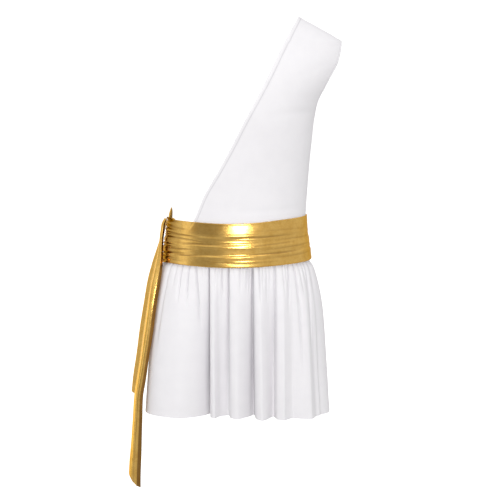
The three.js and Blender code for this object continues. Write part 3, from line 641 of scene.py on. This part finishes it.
def sashPanel(name, lines, facing):
    first, last = (-89.9, 90) if facing < 0 else (90, 269.9)
    rows = (len(lines) - 1) * sash["rowsEach"]
    angles = []
    for column in range(sash["columns"] + 1):
        share = column / sash["columns"]
        angles.append(mix(first, last, share ** 1.25 if facing < 0 else 1 - (1 - share) ** 1.25))
    grid, locks, creases = [], {}, []
    for index in range(rows + 1):
        at = index / sash["rowsEach"]
        below = max(0, int(at) - 1)
        near = lines[below:int(at) + 3]
        line, shadeValues = [], []
        for column, angle in enumerate(angles):
            across = (angle - first) / (last - first)
            if facing > 0:
                across = 1 - across
            share, out = 1, 0.4
            if index < rows:
                share = through([through(shares, across * 4) for shares, _ in near], at - below)
                out = through([through(outs, across * 2) for _, outs in near], at - below)
            fromEnd = across * 180
            reach = 0.8 + 0.9 * noise.noise(Vector((share * 13, 0, 9)))
            reach *= sash["ruchingTo"] - sash["ruchingFrom"]
            ruche = 1 - smooth((fromEnd - sash["ruchingFrom"]) / reach)
            frontness = math.cos(math.radians(angle))
            flat = bodyPoint(angle, (sash["low"] + sash["high"]) / 2)
            dip = max(0, frontness) ** sash["dipSharpness"]
            corner = sash["corner"] * (1 - smooth(fromEnd / 32))
            backDip = sash["backDip"] * smooth(-frontness * math.sqrt(2))
            low = sash["low"] + sash["lowTilt"] * flat.x - sash["lowDip"] * dip - corner
            high = sash["high"] + sash["highTilt"] * flat.x - sash["highDip"] * dip - backDip
            z = mix(low, high, share)
            shade = 0
            for start, end, fromShare, toShare, proud in sashCreases:
                if start < across < end:
                    along = (across - start) / (end - start)
                    gap = (share - mix(fromShare, toShare, along)) / 0.02
                    depth = math.sin(math.pi * along) * math.exp(-gap * gap)
                    out += proud * depth
                    # hollow creases also get painted shade
                    shade += sash["creaseShade"] * max(0, -proud) * depth
            # the small gathers at the knot's end lean a little and differ in size
            turn = (share * sash["ruchings"] + 0.4 * math.sin(share * 9) + 0.25 * math.sin(share * 27 + 1)
                    + 0.01 * fromEnd * math.sin(share * 17))
            tuck = abs(math.sin(math.pi * turn)) ** 0.55
            size = 0.75 + 0.35 * math.sin(7 * share + 1) * math.cos(19 * share)
            out = mix(out, 2.2, 0.8 * ruche)
            out += sash["ruchingDeep"] * (tuck - 0.8) * ruche * size
            # painted shade in the gaps between the small gathers
            shade += ruche * (1 - smooth((tuck - 0.35) / 0.65))
            # painted shade over the end by the knot, fading away from it
            shade += sash["endShade"] * (1 - smooth((fromEnd - 14) / 22))
            if facing < 0:
                # the bodice's turned neckline shows through the sash's top as a step
                beyond = flat.x - readTable(neckline, "z", "x", z) - 1.5
                step = smooth((beyond + 1.2) / 2.4) * (1 - ruche) * smooth((share - 0.7) / 0.08)
                out += sash["neckStep"] * step
                # painted shade on the sash beside the neckline's step, fading away from it
                shade += sash["neckShade"] * step * (1 - smooth((beyond - 45) / 35))
            shadeValues.append(min(1, shade))
            out = max(out, sash["deepest"])
            point = bodyPoint(angle, z, sash["clearance"] + goldWall + out)
            if column in (0, len(angles) - 1):
                locks[index, column] = (facing * seamGap / 2, None)
            line.append(point)
        grid.append(line)
        creases.append(shadeValues)
    return clothShell(name, grid, goldWall, goldLame, locks, creases=creases)


# The free ends: the section's points lie to the side of the front fold and behind it
longSection = [(-8.6, 30), (-9.1, 25), (-9, 20), (-8.4, 15), (-7.4, 11), (-5.6, 6.8), (-3.6, 3), (-2, 0.9),
               (-0.4, 0.12), (1.4, 0.15), (3.2, 0.4), (6.2, 3.2), (9, 5.4)]
shortSection = [(-2.5, 37), (-4.2, 32), (-5.3, 27), (-6, 22.5), (-6, 18), (-5, 13.8), (-3, 10), (-0.4, 7),
                (2.6, 4.4), (5.4, 2.6), (7.6, 2.6), (9, 5)]
longStations = [dict(zip(("z", "x", "y", "side", "behind"), row)) for row in (
    (-872, -203, -62, 1.38, 1), (-846, -201.5, -63, 1.32, 1), (-810, -199, -65, 1.22, 1),
    (-765, -195.5, -67, 1.1, 1), (-715, -192, -68, 1, 1), (-683, -187, -68, 1.02, 1),
    (-634, -178.6, -70, 1, 1), (-586, -171.3, -71.5, 1.04, 1), (-537, -163.9, -68, 1.02, 1),
    (-497, -157.4, -59.5, 1, 0.9), (-462, -151.4, -47.5, 0.8, 0.75), (-440, -149, -37.5, 0.6, 0.6),
    (-415, -147.4, -26, 0.5, 0.52), (-398, -146, -15.5, 0.46, 0.5), (-384, -144.4, -1, 0.42, 0.48),
    (-376, -140.6, 14, 0.3, 0.4))]
shortStations = [dict(zip(("z", "x", "y", "side", "behind"), row)) for row in (
    (-714, -204.5, -30, 0.95, 1), (-683, -200, -29, 1, 1), (-634, -192.5, -26, 1, 1),
    (-586, -185.5, -21, 1, 1), (-537, -178, -16, 1, 0.95), (-497, -171, -10, 0.95, 0.85),
    (-462, -162.4, -1, 0.85, 0.7), (-440, -156, 5, 0.7, 0.58), (-415, -149.4, 11, 0.45, 0.42),
    (-398, -145.4, 16.5, 0.34, 0.34), (-384, -141, 23, 0.3, 0.3))]
freeEnds = {"rows": 330, "columnsEach": 6, "longSlant": 32, "shortSlant": 11, "cornerRound": 9,
            "sway": 0.9, "pleat": 0.55, "flankFrom": 9.8, "flankSoft": 0.6, "flankShade": 0.72}


def freeEnd(name, stations, section, slant, seed, rounded=0):
    columns = (len(section) - 1) * freeEnds["columnsEach"]
    low, high = stations[0]["z"], stations[-1]["z"]
    grid, creases = [], []
    for row in range(freeEnds["rows"] + 1):
        share = row / freeEnds["rows"]
        z = mix(low, high, share)
        at = {key: readTable(stations, "z", key, z) for key in ("x", "y", "side", "behind")}
        cut = (1 - share) ** 6
        sway = noise.noise(Vector((z / 70, seed, 0))) * freeEnds["sway"]
        line = []
        for column in range(columns + 1):
            spot = column / freeEnds["columnsEach"]
            across = column / columns
            side, behind = (through([corner[k] for corner in section], spot) for k in (0, 1))
            pleat = freeEnds["pleat"] * math.sin(across * 17 + z / 160 + seed) * math.sin(math.pi * across)
            pleat += 0.5 * noise.noise(Vector((across * 4, z / 55, seed + 7)))
            drop = slant * across * cut
            lift = rounded * cut * (smooth(1 - across / 0.35)) ** 2
            squeeze = min(1, at["behind"] * 1.4)
            line.append(Vector((at["x"] + (side + sway) * at["side"] + pleat * squeeze,
                                at["y"] + behind * at["behind"] + 0.3 * pleat, z - drop + lift)))
        grid.append(line)
        # painted shade on the side that turns away from the light behind the front fold
        spots = [column / freeEnds["columnsEach"] - freeEnds["flankFrom"] for column in range(columns + 1)]
        creases.append([freeEnds["flankShade"] * smooth(spot / freeEnds["flankSoft"]) for spot in spots])
    return clothShell(name, grid, goldWall, goldLame, creases=creases)


earStations = [dict(zip(("z", "x", "y", "side", "behind"), row)) for row in (
    (-379, -131.8, 25, 1.2, 1), (-370, -130.8, 24, 1.15, 0.9), (-362.5, -129.8, 23.5, 0.8, 0.7),
    (-358, -129.2, 23.2, 0.42, 0.5))]
earSection = [(-3.6, 9), (-4, 6), (-3.8, 3.5), (-2.6, 1), (-1, 0), (0.8, 0.8), (2.6, 2.6)]
ear = {"rows": 24, "columnsEach": 4, "tipLean": 3}


def sashEar(name):
    columns = (len(earSection) - 1) * ear["columnsEach"]
    grid = []
    for row in range(ear["rows"] + 1):
        share = row / ear["rows"]
        z = mix(earStations[0]["z"], earStations[-1]["z"], share)
        at = {key: readTable(earStations, "z", key, z) for key in ("x", "y", "side", "behind")}
        line = []
        for column in range(columns + 1):
            spot = column / ear["columnsEach"]
            side, behind = (through([corner[k] for corner in earSection], spot) for k in (0, 1))
            across = column / columns
            line.append(Vector((at["x"] + side * at["side"], at["y"] + behind * at["behind"],
                                z + ear["tipLean"] * share ** 3 * math.sin(math.pi * across))))
        grid.append(line)
    return clothShell(name, grid, goldWall, goldLame, edge=0.2)


# The knot: a bun of wound cloth with pleats that turn round it, and one turn laid over the middle
knot = {"angle": 244, "z": -392, "out": 11.2, "thick": 6.2, "wide": 14.6, "tall": 13.6, "pleats": 4,
        "pleatDeep": 0.16, "twist": 1.3, "rings": 60, "around": 96}


def sashKnot(name):
    middle = bodyPoint(knot["angle"], knot["z"], knot["out"])
    outward = (middle - bodyPoint(knot["angle"], knot["z"])).normalized()
    sideways = Vector((0, 0, 1)).cross(outward)
    points, faces, corners = [], [], []
    for ring in range(knot["rings"] + 1):
        lat = math.pi * ring / knot["rings"]
        for step in range(knot["around"]):
            lon = 2 * math.pi * step / knot["around"]
            height = math.cos(lat)
            pleat = abs(math.sin(knot["pleats"] * lon / 2 + knot["twist"] * height)) ** 0.6
            lay = 1 - knot["pleatDeep"] * (1 - pleat) * math.sin(lat)
            # the turn over the middle is a wide band that stands a little proud
            band = 1 + 0.1 * (1 - smooth((abs(height + 0.25 * math.cos(lon)) - 0.3) / 0.08)) - 0.05
            size = lay * band
            points.append(middle + outward * (knot["thick"] * math.sin(lat) * math.cos(lon) * size)
                          + sideways * (knot["wide"] * math.sin(lat) * math.sin(lon) * size)
                          + Vector((0, 0, knot["tall"] * height)))
    around = knot["around"]
    for ring in range(knot["rings"]):
        for step in range(around):
            after = (step + 1) % around
            faces.append((ring * around + step, (ring + 1) * around + step,
                          (ring + 1) * around + after, ring * around + after))
            for u, v in ((step, ring), (step, ring + 1), (step + 1, ring + 1), (step + 1, ring)):
                corners.append((u * 0.0009, v * 0.0007))
    mesh = bpy.data.meshes.new(name)
    mesh.from_pydata([place(point) for point in points], [], faces)
    uvLayer = mesh.uv_layers.new(name="cloth")
    uvLayer.data.foreach_set("uv", [value for corner in corners for value in corner])
    piece = bpy.data.objects.new(name, mesh)
    bpy.context.collection.objects.link(piece)
    dress(piece, goldLame)
    bpy.ops.object.mode_set(mode="EDIT")
    bpy.ops.mesh.select_all(action="SELECT")
    bpy.ops.mesh.remove_doubles(threshold=0.00002)
    bpy.ops.object.mode_set(mode="OBJECT")
    return piece


bodiceFront = bodicePanel("bodice_front_jersey", -1)
bodiceBack = bodicePanel("bodice_back_jersey", 1)
print("bodice made")
skirtFront = skirtPanel("skirt_front_jersey", frontFolds, frontGathers, -1)
skirtBack = skirtPanel("skirt_back_jersey", backFolds, backGathers, 1)
print("skirt made")
sashFrontPiece = sashPanel("sash_front_lame", sashFront, -1)
sashBackPiece = sashPanel("sash_back_lame", sashBack, 1)
tailLong = freeEnd("tail_long_lame", longStations, longSection, freeEnds["longSlant"], 1)
tailShort = freeEnd("tail_short_lame", shortStations, shortSection, freeEnds["shortSlant"], 2,
                    freeEnds["cornerRound"])
earPiece = sashEar("sash_ear_lame")
knotPiece = sashKnot("sash_knot_lame")
print("sash made")

jerseyPieces = {bodiceFront: "bodice_front", bodiceBack: "bodice_back",
                skirtFront: "skirt_front", skirtBack: "skirt_back"}
goldPieces = {sashFrontPiece: "sash_front", sashBackPiece: "sash_back", tailLong: "sash_tail_long",
              tailShort: "sash_tail_short", earPiece: "sash_ear", knotPiece: "sash_knot"}
for pieces, slot in ((jerseyPieces, "white_jersey"), (goldPieces, "gold_lame")):
    for piece, node in pieces.items():
        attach(piece, "root")
        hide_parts(node)

# Studio: a white floor and a surround that is dim at the front left, one softbox behind the
# camera, one over the dress, a fill from the left that the gold doesn't show, and two white cards
# at the left that only the gold shows
studio = {"floor": -1.38, "floorSize": 16, "floorGlow": 0.75, "backdrop": 1.2,
          "above": 1.05, "below": 0.8, "dimTowards": (-0.57, -0.82, 0), "dim": 0.41, "bright": 0.7,
          "key": {"at": (0.03, -3.3, 0.2), "aim": (-0.13, 0, -0.38), "wide": 1.0, "tall": 1.0, "power": 40},
          "left": {"at": (-2.4, -1.6, 0.2), "aim": (-0.13, 0, -0.4), "wide": 1.4, "tall": 2.2, "power": 7},
          "card": {"at": (-1.6, 2.2, -0.8), "aim": (-0.3, 0, -0.6), "wide": 2.0, "tall": 2.6, "power": 12},
          "side": {"at": (-2.5, -0.75, -0.35), "aim": (-0.13, 0, -0.42), "wide": 0.75, "tall": 2.2,
                   "power": 2},
          "top": {"at": (-0.13, -0.9, 2.2), "aim": (-0.13, 0, -0.4), "wide": 2.2, "tall": 1.4, "power": 8}}

bpy.ops.object.select_all(action="DESELECT")
bpy.ops.mesh.primitive_plane_add(size=studio["floorSize"], location=(-0.13, 0, studio["floor"]))
floor = bpy.context.object
floor.name = "floor"
floorFinish = bpy.data.materials.new("white_floor")
floorFinish.use_nodes = True
floorShader = floorFinish.node_tree.nodes["Principled BSDF"]
floorShader.inputs["Base Color"].default_value = (0.9, 0.9, 0.9, 1)
floorShader.inputs["Roughness"].default_value = 0.9
floorShader.inputs["Emission Color"].default_value = (1, 1, 1, 1)
floorShader.inputs["Emission Strength"].default_value = studio["floorGlow"]
floor.data.materials.append(floorFinish)
floor.visible_glossy = floor.visible_diffuse = False

for lamp in ("key", "left", "card", "side", "top"):
    facts = studio[lamp]
    bpy.ops.object.light_add(type="AREA", location=facts["at"])
    light = bpy.context.object
    light.name = lamp + "_softbox"
    light.data.shape = "ELLIPSE" if lamp == "key" else "RECTANGLE"
    light.data.size, light.data.size_y = facts["wide"], facts["tall"]
    light.data.energy = facts["power"]
    light.visible_glossy = lamp != "left"
    light.visible_diffuse = lamp not in ("card", "side")
    light.rotation_euler = (Vector(facts["aim"]) - Vector(facts["at"])).to_track_quat("-Z", "Y").to_euler()

world = bpy.data.worlds.new("studio_surround")
bpy.context.scene.world = world
world.use_nodes = True
worldNodes, worldLinks = world.node_tree.nodes, world.node_tree.links
surround = worldNodes["Background"]
surround.inputs["Color"].default_value = (1, 1, 1, 1)
ways = worldNodes.new("ShaderNodeTexCoord")
parts = worldNodes.new("ShaderNodeSeparateXYZ")
height = worldNodes.new("ShaderNodeMapRange")
height.inputs["From Min"].default_value, height.inputs["From Max"].default_value = -0.5, 0.5
height.inputs["To Min"].default_value = studio["below"]
height.inputs["To Max"].default_value = studio["above"]
worldLinks.new(ways.outputs["Generated"], parts.inputs["Vector"])
worldLinks.new(parts.outputs["Z"], height.inputs["Value"])
facing = worldNodes.new("ShaderNodeVectorMath")
facing.operation = "DOT_PRODUCT"
facing.inputs[1].default_value = studio["dimTowards"]
sides = worldNodes.new("ShaderNodeMapRange")
sides.interpolation_type = "SMOOTHSTEP"
sides.inputs["From Min"].default_value, sides.inputs["From Max"].default_value = 0.89, 0.96
sides.inputs["To Min"].default_value = studio["bright"]
sides.inputs["To Max"].default_value = studio["dim"]
glow = worldNodes.new("ShaderNodeMath")
glow.operation = "MULTIPLY"
worldLinks.new(ways.outputs["Generated"], facing.inputs[0])
worldLinks.new(facing.outputs["Value"], sides.inputs["Value"])
worldLinks.new(height.outputs["Result"], glow.inputs[0])
worldLinks.new(sides.outputs["Result"], glow.inputs[1])
worldLinks.new(glow.outputs["Value"], surround.inputs["Strength"])
backdrop = worldNodes.new("ShaderNodeBackground")
backdrop.inputs["Color"].default_value = (1, 1, 1, 1)
backdrop.inputs["Strength"].default_value = studio["backdrop"]
seen = worldNodes.new("ShaderNodeLightPath")
either = worldNodes.new("ShaderNodeMixShader")
worldLinks.new(seen.outputs["Is Camera Ray"], either.inputs["Fac"])
worldLinks.new(surround.outputs["Background"], either.inputs[1])
worldLinks.new(backdrop.outputs["Background"], either.inputs[2])
worldLinks.new(either.outputs["Shader"], worldNodes["World Output"].inputs["Surface"])
bpy.context.scene.view_settings.view_transform = "Standard"

view = {"at": (-0.1334, -2.5, -0.0548), "down": 8.5, "lens": 92.4, "sensor": 36}
bpy.ops.object.camera_add(location=view["at"], rotation=(math.radians(90 - view["down"]), 0, 0))
camera = bpy.context.object
camera.name = "photo_camera"
camera.data.lens = view["lens"]
camera.data.sensor_width = view["sensor"]
bpy.context.scene.camera = camera
print("studio set")
